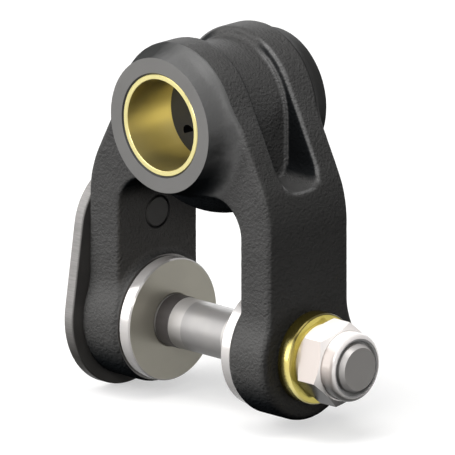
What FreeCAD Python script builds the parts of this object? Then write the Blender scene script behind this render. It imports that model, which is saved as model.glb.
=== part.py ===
import FreeCAD, Part
import math
import os
import Sketcher
from FreeCAD import Rotation, Vector

# Tension rod clevis: a cast fork whose bushed hub turns on one rod, and whose two arms hold a
# pin at right angles to it. Millimetres, +Z up. The origin is the centre of the hub bore, the
# hub bore runs along Y, and the pin runs along X below it.

doc = FreeCAD.newDocument("tension_rod_clevis")

# Driving dimensions
SIZES = (
    ("hub_length", 80.0, "hub from machined face to machined face"),
    ("hub_face_radius", 33.2, "machined ring at each end of the hub"),
    ("hub_cone_angle", 16.5, "taper of the hub outside, degrees"),
    ("hub_flare_radius", 9.0, "hollow blend from the hub to the fork's front and back"),
    ("hub_bore_radius", 25.0, "seat of the two bushes"),
    ("hub_bore_chamfer", 0.8, "lead-in of the bush seat"),
    ("crown_radius", 38.6, "round top of the fork"),
    ("arm_width", 54.0, "fork from front to back"),
    ("arm_span", 123.6, "over the outsides of the arms"),
    ("fork_gap", 82.6, "between the cast insides of the arms"),
    ("shoulder_angle", 27.4, "slope of the shoulders from upright, degrees"),
    ("shoulder_blend", 50.0, "from the slope to the arm's upright outside"),
    ("ceiling_drop", 34.3, "from the hub axis to the ceiling between the arms"),
    ("belly_radius", 49.8, "from the hub axis to the swell under the hub's middle"),
    ("belly_rise", 16.9, "how far that swell stands below its own ends, at the fork's front and back"),
    ("belly_sweep", 100.0, "how far round the hub the swell goes, degrees"),
    ("arch_radius", 17.5, "corner between the ceiling and an arm"),
    ("pin_drop", 110.4, "from the hub axis to the pin axis"),
    ("eye_radius", 32.0, "round end of each arm"),
    ("neck_blend", 30.0, "hollow between the arm's edge and its eye"),
    ("edge_round", 3.0, "cast rounding of the outer edges"),
    ("mouth_round", 1.5, "cast rounding of the fork's inner edges"),
    ("pad_radius", 31.0, "raised machined pad inside each eye"),
    ("pad_height", 3.3, "how far the pad stands off the arm"),
    ("pad_chamfer", 0.6, "edge of the pad"),
    ("pad_foot", 2.4, "cast slope round the foot of the pad"),
    ("waist_width", 25.0, "hollow round the fork between its front and back ribs"),
    ("waist_depth", 4.8, "hollow below the round crown"),
    ("waist_foot", 29.0, "from the hub axis down to the hollow's foot"),
    ("waist_corner", 9.5, "corner of the hollow's foot"),
    ("waist_lip", 2.0, "rounding of the hollow's mouth"),
    ("port_drop", 15.0, "from the hub axis down to the grease port"),
    ("port_radius", 3.2, "grease port"),
    ("port_thread_radius", 4.0, "tapped end of the port"),
    ("port_thread_depth", 7.0, "depth of the tapped end"),
    ("port_run_out", 1.0, "tapped end beyond the nipple's thread"),
    ("port_seat_depth", 0.4, "the nipple's spot face, below the hollow's floor"),
    ("port_seat_radius", 7.5, "spot face of the nipple"),
    ("nipple_flats", 9.0, "across the nipple's flats"),
    ("nipple_hex_height", 4.0, "hexagon of the nipple"),
    ("nipple_neck_radius", 2.4, "neck behind the nipple's head"),
    ("nipple_head_radius", 3.25, "head of the nipple"),
    ("nipple_length", 11.5, "nipple outside its seat"),
    ("bush_length", 30.0, "each bush"),
    ("bush_bore_radius", 22.5, "running bore of the bushes"),
    ("bush_recess", 0.4, "bush below the hub's machined face"),
    ("bush_chamfer", 0.3, "edges of a bush"),
    ("pin_radius", 12.5, "shank of the pin"),
    ("pin_clearance", 0.06, "shank in the eyes and the plate, all round"),
    ("pin_shoulder", 1.0, "shank stops inside the eye's outer face"),
    ("pin_stick_out", 34.3, "threaded end beyond the arm"),
    ("pin_point_radius", 10.5, "end face of the thread"),
    ("pin_point_length", 2.5, "chamfer at the end of the thread"),
    ("pin_tail", 3.0, "pin beyond the lock plate"),
    ("pin_tail_chamfer", 0.6, "edge of the pin's tail"),
    ("thread_radius", 12.0, "outside of the thread"),
    ("thread_clearance", 0.05, "nut on the thread, all round"),
    ("weld_leg", 3.0, "ring weld along the plate"),
    ("weld_rise", 2.4, "ring weld along the pin"),
    ("disc_radius", 30.0, "thrust disc"),
    ("disc_thickness", 7.0, "thrust disc"),
    ("disc_chamfer", 0.7, "edges of a thrust disc"),
    ("disc_clearance", 0.1, "disc on the pin, all round"),
    ("disc_float", 0.1, "disc off its pad"),
    ("seal_width", 8.5, "rubber seal ring beside a disc, along the pin"),
    ("seal_gap", 0.3, "seal ring off the disc"),
    ("seal_depth", 2.0, "groove of a seal ring, below the shank"),
    ("seal_stand", 0.2, "seal ring above the shank"),
    ("seal_edge", 0.4, "edges of a seal ring"),
    ("plate_thickness", 6.0, "lock plate"),
    ("plate_pin_radius", 37.4, "round end of the lock plate at the pin"),
    ("plate_dowel_radius", 31.0, "other round end of the lock plate"),
    ("plate_end_drop", 68.2, "from the hub axis to that end's centre"),
    ("plate_chamfer", 0.6, "edges of the lock plate"),
    ("dowel_radius", 7.5, "dowel that stops the plate turning"),
    ("dowel_drop", 58.7, "from the hub axis to the dowel"),
    ("dowel_chamfer", 0.6, "edges of the dowel"),
    ("washer_radius", 22.4, "nut washer"),
    ("washer_thickness", 8.0, "nut washer"),
    ("washer_clearance", 0.5, "washer on the thread, all round"),
    ("washer_chamfer", 0.8, "edges of the washer"),
    ("nut_flats", 36.0, "across the nut's flats"),
    ("nut_turn", 17.0, "a corner of the nut, degrees from +Y towards +Z"),
    ("nut_hex_height", 16.5, "hexagon of the nut, with its bearing face"),
    ("nut_height", 24.0, "nut with its collar"),
    ("nut_face_radius", 17.4, "bearing face of the nut"),
    ("nut_face_height", 2.0, "how far the bearing face stands off the hexagon"),
    ("nut_chamfer_angle", 30.0, "slope of the hexagon's chamfers, degrees"),
    ("collar_radius", 16.9, "collar that holds the insert"),
    ("collar_round", 3.0, "rolled edge of the collar"),
    ("collar_mouth_radius", 14.5, "opening of the collar"),
    ("collar_lip", 1.0, "rolled lip over the insert"),
    ("insert_radius", 15.6, "locking insert, outside"),
    ("insert_height", 4.5, "locking insert, below the lip"),
    ("insert_neck", 0.7, "locking insert, up inside the lip"),
    ("insert_mouth_radius", 13.6, "open end of the insert"),
    ("insert_mouth_depth", 2.5, "open end of the insert"),
)

sheet = doc.addObject("Spreadsheet::Sheet", "sizes")
for row, (alias, value, note) in enumerate(SIZES, start=1):
    sheet.set(f"A{row}", alias)
    sheet.set(f"B{row}", str(value))
    sheet.setAlias(f"B{row}", alias)
    sheet.set(f"C{row}", note)
doc.recompute()
ALIASES = sorted((alias for alias, value, note in SIZES), key=len, reverse=True)


def bound(formula):
    """A formula in plain size names, written with the sheet's name before each alias."""
    words = []
    word = ""
    for letter in formula + " ":
        if letter.isalnum() or letter == "_":
            word += letter
            continue
        words.append("sizes." + word if word in ALIASES else word)
        words.append(letter)
        word = ""
    return "".join(words).strip()


def measure(formula):
    """The number that a formula comes to."""
    return float(sheet.evalExpression(bound(formula)))


# Drawing helpers
PLANES = {"front": "XZ_Plane", "side": "YZ_Plane", "top": "XY_Plane"}


def new_body(name):
    body = doc.addObject("PartDesign::Body", name)
    body.Label = name
    return body


def new_sketch(body, name, plane, shift=None, turn=None):
    """A sketch on an origin plane, moved in its own frame by (across, up, out) formulas."""
    sketch = body.newObject("Sketcher::SketchObject", name)
    role = PLANES[plane]
    support = next(part for part in body.Origin.OriginFeatures if part.Role == role)
    sketch.AttachmentSupport = [(support, "")]
    sketch.MapMode = "FlatFace"
    if turn:
        sketch.AttachmentOffset = FreeCAD.Placement(Vector(), Rotation(Vector(0, 0, 1), measure(turn)))
        sketch.setExpression(".AttachmentOffset.Rotation.Angle", bound(turn))
    for axis, formula in zip("xyz", shift or ()):
        if formula:
            sketch.setExpression(f".AttachmentOffset.Base.{axis}", bound(formula))
    return sketch


def arc_between(start, end, radius, side):
    """The short arc from start to end, bulging right of the way for side 1 and left for -1."""
    half_way = (start + end) * 0.5
    chord = end - start
    rise = math.sqrt(max(radius ** 2 - (chord.Length / 2) ** 2, 0.0))
    normal = Vector(-chord.y, chord.x, 0).normalize()
    centre = half_way + normal * rise * side
    angles = [math.atan2(point.y - centre.y, point.x - centre.x) for point in (start, end)]
    if side < 0:
        angles.reverse()
    if angles[1] < angles[0]:
        angles[1] += 2 * math.pi
    circle = Part.Circle(centre, Vector(0, 0, 1), radius)
    return Part.ArcOfCircle(circle, angles[0], angles[1])


def bind(sketch, constraint, formula):
    index = sketch.addConstraint(constraint)
    sketch.setExpression(f"Constraints[{index}]", bound(formula))


def outline(sketch, corners):
    """A closed outline. A corner is (across, up), or (across, up, radius, side) where an arc
    leads on to the next corner; side 1 bulges right of the way, side -1 left of it."""
    spots = [Vector(measure(corner[0]), measure(corner[1]), 0) for corner in corners]
    first = sketch.GeometryCount
    ends = []
    for place, corner in enumerate(corners):
        start = spots[place]
        end = spots[(place + 1) % len(corners)]
        if len(corner) == 2:
            sketch.addGeometry(Part.LineSegment(start, end), False)
            ends.append((1, 2))
        else:
            sketch.addGeometry(arc_between(start, end, measure(corner[2]), corner[3]), False)
            ends.append((1, 2) if corner[3] > 0 else (2, 1))
    for place, corner in enumerate(corners):
        edge = first + place
        follower = (place + 1) % len(corners)
        joined = (edge, ends[place][1], first + follower, ends[follower][0])
        sketch.addConstraint(Sketcher.Constraint("Coincident", *joined))
        spot = spots[place]
        across = Sketcher.Constraint("DistanceX", -1, 1, edge, ends[place][0], spot.x)
        bind(sketch, across, corner[0])
        up = Sketcher.Constraint("DistanceY", -1, 1, edge, ends[place][0], spot.y)
        bind(sketch, up, corner[1])
        if len(corner) > 2:
            bind(sketch, Sketcher.Constraint("Radius", edge, measure(corner[2])), corner[2])


def ring(sketch, across, up, radius):
    centre = Vector(measure(across), measure(up), 0)
    edge = sketch.addGeometry(Part.Circle(centre, Vector(0, 0, 1), measure(radius)), False)
    bind(sketch, Sketcher.Constraint("DistanceX", -1, 1, edge, 3, centre.x), across)
    bind(sketch, Sketcher.Constraint("DistanceY", -1, 1, edge, 3, centre.y), up)
    bind(sketch, Sketcher.Constraint("Radius", edge, measure(radius)), radius)


def mirrored(corners):
    """The right half of an outline, from its foot to its top, and the same half on the left."""
    right = list(corners)
    if measure(right[-1][0]) == 0:
        right[-1] = right[-1][:2] + tuple(right[-2][2:])
    left = []
    for place in range(len(right) - 1, -1, -1):
        across, up = right[place][:2]
        bend = right[place - 1][2:] if place else ()
        if measure(across) != 0:
            left.append((f"-({across})", up) + tuple(bend))
    return right + left


def add(body, kind, name, sketch, **settings):
    """A sketch-based feature; a setting given as text is a formula."""
    feature = body.newObject("PartDesign::" + kind, name)
    feature.Profile = sketch
    for key, value in settings.items():
        if key in ("Length", "Angle") and isinstance(value, str):
            feature.setExpression(key, bound(value))
        elif key == "ReferenceAxis":
            feature.ReferenceAxis = (sketch, [value])
        else:
            setattr(feature, key, value)
    doc.recompute()
    return feature


def turn_about_pin(body, name, corners, kind="Revolution"):
    """Turned about the pin axis: corners are (along X, radius)."""
    sketch = new_sketch(body, name + "_section", "front", shift=("", "-pin_drop", ""))
    outline(sketch, corners)
    return add(body, kind, name, sketch, ReferenceAxis="H_Axis", Angle=360.0)


def break_edges(body, kind, name, size, wanted):
    """A Fillet or Chamfer on those edges of the body so far that the test picks."""
    base = body.Tip
    edges = enumerate(base.Shape.Edges, start=1)
    picked = [f"Edge{number}" for number, edge in edges if wanted(edge)]
    feature = body.newObject("PartDesign::" + kind, name)
    feature.Base = (base, picked)
    feature.setExpression("Radius" if kind == "Fillet" else "Size", bound(size))
    doc.recompute()
    return feature


# Fork: the slab of both arms, seen from the side
fork = new_body("clevis_body")
half_width = "arm_width / 2"
neck_rise = "sqrt((eye_radius + neck_blend)^2 - (arm_width / 2 + neck_blend)^2)"
neck_height = f"-pin_drop + {neck_rise}"
eye_meet_across = "(arm_width / 2 + neck_blend) * eye_radius / (eye_radius + neck_blend)"
eye_meet_height = f"-pin_drop + {neck_rise} * eye_radius / (eye_radius + neck_blend)"
slab_top = "crown_radius + 2 * hub_flare_radius"
side_view = new_sketch(fork, "arm_side_view", "side")
outline(side_view, mirrored([
    ("0", "-pin_drop - eye_radius", "eye_radius", 1),
    (eye_meet_across, eye_meet_height, "neck_blend", -1),
    (half_width, neck_height),
    (half_width, slab_top),
]))
add(fork, "Pad", "arm_slab", side_view, Length="arm_span", Midplane=True)


def runs_along_y(face):
    """True for a flat or round face that is straight from front to back."""
    surface = face.Surface
    if surface.TypeId == "Part::GeomPlane":
        return abs(surface.Axis.y) < 0.001
    if surface.TypeId == "Part::GeomCylinder":
        return abs(surface.Axis.y) > 0.999
    return False


def faces_along_y(edge):
    faces = fork.Tip.Shape.ancestorsOfType(edge, Part.Face)
    return [face for face in faces if runs_along_y(face)]


# Mouth: the gap between the arms, with an arched corner at each arm
inside = "fork_gap / 2"
below_eye = "-pin_drop - eye_radius - edge_round"
stock = "2 * edge_round"
gap_half = measure(inside)


def cut_mouth(name):
    mouth_view = new_sketch(fork, name + "_view", "front")
    outline(mouth_view, mirrored([
        (inside, f"{below_eye} - {stock}"),
        (inside, "-ceiling_drop - arch_radius", "arch_radius", 1),
        (f"{inside} - arch_radius", "-ceiling_drop"),
    ]))
    add(fork, "Pocket", name, mouth_view, Type="ThroughAll", Midplane=True)


def is_mouth_rim(edge):
    """An edge between the mouth's faces and the fork's front, back or eyes."""
    around = faces_along_y(edge)
    if len(around) != 1:
        return False
    middle = around[0].CenterOfMass
    return abs(middle.x) < gap_half + 0.01 and middle.z < 0


cut_mouth("mouth")
break_edges(fork, "Fillet", "mouth_rounding", "mouth_round", is_mouth_rim)

# Flare: the hollow blend by which the hub runs out into the slab's front and back
cone_end = "hub_face_radius + (hub_length - arm_width) / 2 * tan(hub_cone_angle)"
flare_reach = "hub_flare_radius / tan(45 + hub_cone_angle / 2)"
flare_meet = f"arm_width / 2 + {flare_reach} * cos(hub_cone_angle)"
flare_meet_radius = f"{cone_end} - {flare_reach} * sin(hub_cone_angle)"
flare_section = new_sketch(fork, "flare_section", "side")
outline(flare_section, [
    (f"-({flare_meet})", "0"),
    (flare_meet, "0"),
    (flare_meet, flare_meet_radius, "hub_flare_radius", -1),
    (half_width, f"{cone_end} + {flare_reach}"),
    ("-arm_width / 2", f"{cone_end} + {flare_reach}", "hub_flare_radius", -1),
    (f"-({flare_meet})", flare_meet_radius),
])
add(fork, "Revolution", "flare", flare_section, ReferenceAxis="H_Axis", Angle=360.0)
cut_mouth("mouth_under_flare")

# Front view: all that lies outside the round crown and the sloping shoulders is cut away
outside = "arm_span / 2"
slope_top_across = "crown_radius * cos(shoulder_angle)"
slope_top_height = "crown_radius * sin(shoulder_angle)"
shoulder_height = f"{slope_top_height} - ({outside} - {slope_top_across}) / tan(shoulder_angle)"
blend_run = "shoulder_blend * tan(shoulder_angle / 2)"
front_view = new_sketch(fork, "fork_front_view", "front")
outline(front_view, mirrored([
    (outside, below_eye),
    (outside, f"{shoulder_height} - {blend_run}", "shoulder_blend", 1),
    (f"{outside} - {blend_run} * sin(shoulder_angle)",
     f"{shoulder_height} + {blend_run} * cos(shoulder_angle)"),
    (slope_top_across, slope_top_height, "crown_radius", 1),
    ("0", "crown_radius"),
]))
outline(front_view, mirrored([
    (f"{outside} + {stock}", f"{below_eye} - {stock}"),
    (f"{outside} + {stock}", f"{slab_top} + {stock}"),
]))
add(fork, "Pocket", "fork_front", front_view, Type="ThroughAll", Midplane=True)


def is_outer_rim(edge):
    """An edge between the fork's outside and its front, back or eyes."""
    around = faces_along_y(edge)
    if len(around) != 1:
        return False
    middle = around[0].CenterOfMass
    return abs(middle.x) > gap_half + 0.01 or middle.z > 0


break_edges(fork, "Fillet", "outer_rounding", "edge_round", is_outer_rim)

# Hub: a tapered barrel, and the swell of metal under its middle
barrel_root = "arm_width / 2 - edge_round"
barrel_root_radius = f"hub_face_radius + (hub_length / 2 - ({barrel_root})) * tan(hub_cone_angle)"
barrel_section = new_sketch(fork, "barrel_section", "side")
outline(barrel_section, [
    ("-hub_length / 2", "0"),
    ("hub_length / 2", "0"),
    ("hub_length / 2", "hub_face_radius"),
    (barrel_root, barrel_root_radius),
    (f"-({barrel_root})", barrel_root_radius),
    ("-hub_length / 2", "hub_face_radius"),
])
add(fork, "Revolution", "barrel", barrel_section, ReferenceAxis="H_Axis", Angle=360.0)
belly_foot = "-belly_radius + belly_rise"
belly_curve = "(arm_width^2 / 8 / belly_rise + belly_rise / 2)"
belly_section = new_sketch(fork, "belly_section", "side")
outline(belly_section, [
    ("-arm_width / 2", "-hub_bore_radius"),
    ("-arm_width / 2", belly_foot, belly_curve, 1),
    (half_width, belly_foot),
    (half_width, "-hub_bore_radius"),
])
add(fork, "Revolution", "belly", belly_section, ReferenceAxis="H_Axis", Angle="belly_sweep", Midplane=True)

# Waist: a hollow over the crown and down each shoulder, which leaves a front and a back rib
waist_floor = "crown_radius - waist_depth"
waist_side = "waist_width / 2"
crown_groove = new_sketch(fork, "waist_section", "top")
outline(crown_groove, [
    (waist_floor, f"-{waist_side}"),
    (f"crown_radius + {stock}", f"-{waist_side}"),
    (f"crown_radius + {stock}", waist_side),
    (waist_floor, waist_side),
])
add(fork, "Groove", "crown_waist", crown_groove, ReferenceAxis="V_Axis", Angle=180.0, Reversed=True)
for side_name, side in (("right", ""), ("left", "-")):
    floor_shift = ("", "", f"{side}({waist_floor})")
    foot_view = new_sketch(fork, f"{side_name}_waist_view", "side", shift=floor_shift)
    outline(foot_view, [
        (f"{waist_side} - waist_corner", "-waist_foot", "waist_corner", 1),
        (waist_side, "-waist_foot + waist_corner"),
        (waist_side, "crown_radius"),
        (f"-{waist_side}", "crown_radius"),
        (f"-{waist_side}", "-waist_foot + waist_corner", "waist_corner", 1),
        (f"-{waist_side} + waist_corner", "-waist_foot"),
    ])
    add(fork, "Pocket", f"{side_name}_waist", foot_view, Type="ThroughAll", Reversed=side == "")
floor_reach = measure(waist_floor)
waist_half = measure(waist_side)


def is_waist_floor(face):
    """A face of the hollow's floor: round over the crown, flat down the shoulders."""
    surface = face.Surface
    if surface.TypeId == "Part::GeomCylinder":
        return abs(surface.Axis.y) > 0.999 and abs(surface.Radius - floor_reach) < 0.01
    flat = surface.TypeId == "Part::GeomPlane" and abs(surface.Axis.x) > 0.999
    return flat and abs(abs(face.CenterOfMass.x) - floor_reach) < 0.01


def is_waist_wall(face):
    """A face of the hollow's sides and foot."""
    surface = face.Surface
    middle = face.CenterOfMass
    if surface.TypeId == "Part::GeomCylinder":
        return abs(surface.Axis.x) > 0.999 and abs(middle.y) < waist_half and middle.z < 0
    if surface.TypeId != "Part::GeomPlane":
        return False
    side_wall = abs(surface.Axis.y) > 0.999 and abs(abs(middle.y) - waist_half) < 0.01
    foot_wall = abs(surface.Axis.z) > 0.999 and abs(middle.z + measure("waist_foot")) < 0.01
    return side_wall or foot_wall


def is_waist_lip(edge):
    faces = fork.Tip.Shape.ancestorsOfType(edge, Part.Face)
    walls = [face for face in faces if is_waist_wall(face)]
    outer = [face for face in faces if runs_along_y(face) and not is_waist_floor(face)
             and not is_waist_wall(face)]
    return len(walls) == 1 and len(outer) == 1


break_edges(fork, "Fillet", "waist_lips", "min(waist_lip; 0.42 * waist_depth)", is_waist_lip)

# Pads: raised rings inside the eyes, with a sloping foot that the eye's round end cuts off
pad_face = f"({inside} - pad_height)"
pad = turn_about_pin(fork, "right_pad", [
    (f"{inside} + pad_foot", "0"),
    (f"{inside} + pad_foot", "pad_radius + pad_foot"),
    (inside, "pad_radius + pad_foot"),
    (f"{inside} - pad_foot", "pad_radius"),
    (f"{pad_face} + pad_chamfer", "pad_radius"),
    (pad_face, "pad_radius - pad_chamfer"),
    (pad_face, "0"),
])
middle_plane = next(part for part in fork.Origin.OriginFeatures if part.Role == "YZ_Plane")
left_pad = fork.newObject("PartDesign::Mirrored", "left_pad")
left_pad.Originals = [pad]
left_pad.MirrorPlane = (middle_plane, [""])
fork.Tip = left_pad
doc.recompute()
trim_top = f"({neck_height} + pad_foot)"
trim_edge = "pad_radius + 2 * pad_foot + eye_radius"
eye_trim = new_sketch(fork, "eye_trim_view", "side")
outline(eye_trim, [
    (half_width, trim_top),
    (half_width, neck_height, "neck_blend", 1),
    (eye_meet_across, eye_meet_height, "eye_radius", -1),
    ("0", "-pin_drop - eye_radius", "eye_radius", -1),
    (f"-({eye_meet_across})", eye_meet_height, "neck_blend", 1),
    ("-arm_width / 2", neck_height),
    ("-arm_width / 2", trim_top),
    (f"-({trim_edge})", trim_top),
    (f"-({trim_edge})", f"{below_eye} - {stock}"),
    (trim_edge, f"{below_eye} - {stock}"),
    (trim_edge, trim_top),
])
add(fork, "Pocket", "eye_trim", eye_trim, Type="ThroughAll", Midplane=True)

# Machining: hub bore, eyes, dowel hole and grease port
bore_section = new_sketch(fork, "hub_bore_section", "side")
outline(bore_section, [
    ("-hub_length / 2", "0"),
    ("hub_length / 2", "0"),
    ("hub_length / 2", "hub_bore_radius + hub_bore_chamfer"),
    ("hub_length / 2 - hub_bore_chamfer", "hub_bore_radius"),
    ("-hub_length / 2 + hub_bore_chamfer", "hub_bore_radius"),
    ("-hub_length / 2", "hub_bore_radius + hub_bore_chamfer"),
])
add(fork, "Groove", "hub_bore", bore_section, ReferenceAxis="H_Axis", Angle=360.0)
eye_view = new_sketch(fork, "eye_bore_view", "side")
ring(eye_view, "0", "-pin_drop", "pin_radius + pin_clearance")
add(fork, "Pocket", "eye_bores", eye_view, Type="ThroughAll", Midplane=True)
dowel_hole_view = new_sketch(fork, "dowel_hole_view", "side")
ring(dowel_hole_view, "0", "-dowel_drop", "dowel_radius")
add(fork, "Pocket", "dowel_hole", dowel_hole_view, Type="ThroughAll")


def turn_about_port(body, name, corners, kind="Revolution"):
    """Turned about the grease port: corners are (outward along -X, radius)."""
    sketch = new_sketch(body, name + "_section", "front", shift=("", "-port_drop", ""), turn="180")
    outline(sketch, corners)
    return add(body, kind, name, sketch, ReferenceAxis="H_Axis", Angle=360.0)


port_seat = f"({waist_floor} - port_seat_depth)"
thread_start = f"({port_seat} - port_thread_depth)"
turn_about_port(fork, "grease_port", [
    ("0", "0"),
    ("0", "port_radius"),
    (thread_start, "port_radius"),
    (thread_start, "port_thread_radius"),
    (port_seat, "port_thread_radius"),
    (port_seat, "port_seat_radius"),
    (outside, "port_seat_radius"),
    (outside, "0"),
], kind="Groove")

# Grease nipple in the port, inside the left hollow
nipple = new_body("grease_nipple")
hex_end = f"({port_seat} + nipple_hex_height)"
head_start = f"({port_seat} + nipple_length - 2 * nipple_head_radius + nipple_neck_radius)"
turn_about_port(nipple, "nipple_stem", [
    (f"{thread_start} + port_run_out", "0"),
    (f"{thread_start} + port_run_out", "port_thread_radius"),
    (port_seat, "port_thread_radius"),
    (hex_end, "port_thread_radius"),
    (f"{hex_end} + port_thread_radius - nipple_neck_radius", "nipple_neck_radius"),
    (head_start, "nipple_neck_radius"),
    (f"{head_start} + nipple_head_radius - nipple_neck_radius", "nipple_head_radius"),
    (f"{port_seat} + nipple_length - nipple_head_radius / 2", "nipple_head_radius"),
    (f"{port_seat} + nipple_length", "nipple_head_radius / 2"),
    (f"{port_seat} + nipple_length", "0"),
])


def hexagon(sketch, up, flats, turned="0"):
    outline(sketch, [
        (f"{flats} / sqrt(3) * cos({turned} + {corner})",
         f"{up} + {flats} / sqrt(3) * sin({turned} + {corner})")
        for corner in range(0, 360, 60)
    ])


nipple_hex_view = new_sketch(nipple, "nipple_hex_view", "side", shift=("", "", f"-({port_seat})"))
hexagon(nipple_hex_view, "-port_drop", "nipple_flats")
add(nipple, "Pad", "nipple_hex", nipple_hex_view, Length="nipple_hex_height", Reversed=True)

# Bushes: bronze, pressed in from each end of the hub
bush_end = "(hub_length / 2 - bush_recess)"
for bush_name, side in (("front_bush", "-"), ("rear_bush", "")):
    bush = new_body(bush_name)
    bush_section = new_sketch(bush, bush_name + "_section", "side")
    outer, inner = f"{side}{bush_end}", f"{side}({bush_end} - bush_length)"
    outer_edge = f"{side}({bush_end} - bush_chamfer)"
    inner_edge = f"{side}({bush_end} - bush_length + bush_chamfer)"
    outline(bush_section, [
        (outer, "bush_bore_radius + bush_chamfer"),
        (outer, "hub_bore_radius - bush_chamfer"),
        (outer_edge, "hub_bore_radius"),
        (inner_edge, "hub_bore_radius"),
        (inner, "hub_bore_radius - bush_chamfer"),
        (inner, "bush_bore_radius + bush_chamfer"),
        (inner_edge, "bush_bore_radius"),
        (outer_edge, "bush_bore_radius"),
    ])
    add(bush, "Revolution", bush_name + "_ring", bush_section, ReferenceAxis="H_Axis", Angle=360.0)

# Pin: turned shank with a smaller threaded end, grooved beside each thrust disc for a seal ring
disc_face = f"({pad_face} - disc_float - disc_thickness)"
seal_outer = f"({disc_face} - seal_gap)"
seal_inner = f"({disc_face} - seal_gap - seal_width)"
pin = new_body("clevis_pin")
plate_outside = f"-({outside} + plate_thickness)"
pin_tail_end = f"{plate_outside} - pin_tail"
pin_point = f"{outside} + pin_stick_out"
turn_about_pin(pin, "pin_turning", [
    (pin_tail_end, "0"),
    (pin_tail_end, "pin_radius - pin_tail_chamfer"),
    (f"{pin_tail_end} + pin_tail_chamfer", "pin_radius"),
    (f"-{seal_outer}", "pin_radius"),
    (f"-{seal_outer}", "pin_radius - seal_depth"),
    (f"-{seal_inner}", "pin_radius - seal_depth"),
    (f"-{seal_inner}", "pin_radius"),
    (seal_inner, "pin_radius"),
    (seal_inner, "pin_radius - seal_depth"),
    (seal_outer, "pin_radius - seal_depth"),
    (seal_outer, "pin_radius"),
    (f"{outside} - pin_shoulder", "pin_radius"),
    (f"{outside} - pin_shoulder", "thread_radius"),
    (f"{pin_point} - pin_point_length", "thread_radius"),
    (pin_point, "pin_point_radius"),
    (pin_point, "0"),
])

# Seal rings in the pin's grooves, standing a little proud to keep the discs at their pads
for seal_name, side in (("left_seal_ring", "-"), ("right_seal_ring", "")):
    seal = new_body(seal_name)
    turn_about_pin(seal, seal_name + "_turning", [
        (f"{side}{seal_outer}", "pin_radius - seal_depth"),
        (f"{side}{seal_outer}", "pin_radius + seal_stand - seal_edge"),
        (f"{side}({seal_outer} - seal_edge)", "pin_radius + seal_stand"),
        (f"{side}({seal_inner} + seal_edge)", "pin_radius + seal_stand"),
        (f"{side}{seal_inner}", "pin_radius + seal_stand - seal_edge"),
        (f"{side}{seal_inner}", "pin_radius - seal_depth"),
    ])

# Weld between the pin's tail and the lock plate
weld = new_body("pin_weld")
turn_about_pin(weld, "weld_bead", [
    (plate_outside, "pin_radius"),
    (plate_outside, "pin_radius + weld_leg"),
    (f"{plate_outside} - weld_rise", "pin_radius"),
])

# Lock plate on the outside of the left arm, holed for the pin and the dowel
plate = new_body("lock_plate")
plate_run = "(pin_drop - plate_end_drop)"
plate_lean = f"asin((plate_pin_radius - plate_dowel_radius) / {plate_run})"
plate_view = new_sketch(plate, "plate_view", "side", shift=("", "", f"-{outside}"))
outline(plate_view, mirrored([
    ("0", "-pin_drop - plate_pin_radius", "plate_pin_radius", 1),
    (f"plate_pin_radius * cos({plate_lean})", f"-pin_drop + plate_pin_radius * sin({plate_lean})"),
    (f"plate_dowel_radius * cos({plate_lean})",
     f"-plate_end_drop + plate_dowel_radius * sin({plate_lean})", "plate_dowel_radius", 1),
    ("0", "-plate_end_drop + plate_dowel_radius"),
]))
ring(plate_view, "0", "-pin_drop", "pin_radius + pin_clearance")
ring(plate_view, "0", "-dowel_drop", "dowel_radius")
add(plate, "Pad", "plate_blank", plate_view, Length="plate_thickness", Reversed=True)
plate_faces = (measure(f"-{outside}"), measure(plate_outside))


def is_plate_edge(edge):
    middle = edge.CenterOfMass
    on_face = min(abs(middle.x - face) for face in plate_faces) < 0.01
    closed = len(edge.Vertexes) == 1
    return on_face and not closed


break_edges(plate, "Chamfer", "plate_edges", "plate_chamfer", is_plate_edge)

# Dowel through the plate and the left arm
dowel = new_body("lock_dowel")
dowel_section = new_sketch(dowel, "dowel_section", "front", shift=("", "-dowel_drop", ""))
outline(dowel_section, [
    (plate_outside, "0"),
    (plate_outside, "dowel_radius - dowel_chamfer"),
    (f"{plate_outside} + dowel_chamfer", "dowel_radius"),
    (f"-{inside} - dowel_chamfer", "dowel_radius"),
    (f"-{inside}", "dowel_radius - dowel_chamfer"),
    (f"-{inside}", "0"),
])
add(dowel, "Revolution", "dowel_turning", dowel_section, ReferenceAxis="H_Axis", Angle=360.0)

# Thrust discs: loose on the pin, one against each pad
disc_bore = "pin_radius + disc_clearance"
for disc_name, side in (("left_thrust_disc", "-"), ("right_thrust_disc", "")):
    disc = new_body(disc_name)
    back = f"{side}({pad_face} - disc_float)"
    back_edge = f"{side}({pad_face} - disc_float - disc_chamfer)"
    face = f"{side}{disc_face}"
    face_edge = f"{side}({disc_face} + disc_chamfer)"
    turn_about_pin(disc, disc_name + "_turning", [
        (back, disc_bore),
        (back, "disc_radius - disc_chamfer"),
        (back_edge, "disc_radius"),
        (face_edge, "disc_radius"),
        (face, "disc_radius - disc_chamfer"),
        (face, f"{disc_bore} + disc_chamfer"),
        (face_edge, disc_bore),
    ])

# Washer under the nut
washer = new_body("nut_washer")
washer_bore = "thread_radius + washer_clearance"
washer_face = f"{outside} + washer_thickness"
turn_about_pin(washer, "washer_turning", [
    (outside, washer_bore),
    (outside, "washer_radius - washer_chamfer"),
    (f"{outside} + washer_chamfer", "washer_radius"),
    (f"{washer_face} - washer_chamfer", "washer_radius"),
    (washer_face, "washer_radius - washer_chamfer"),
    (washer_face, washer_bore),
])

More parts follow.
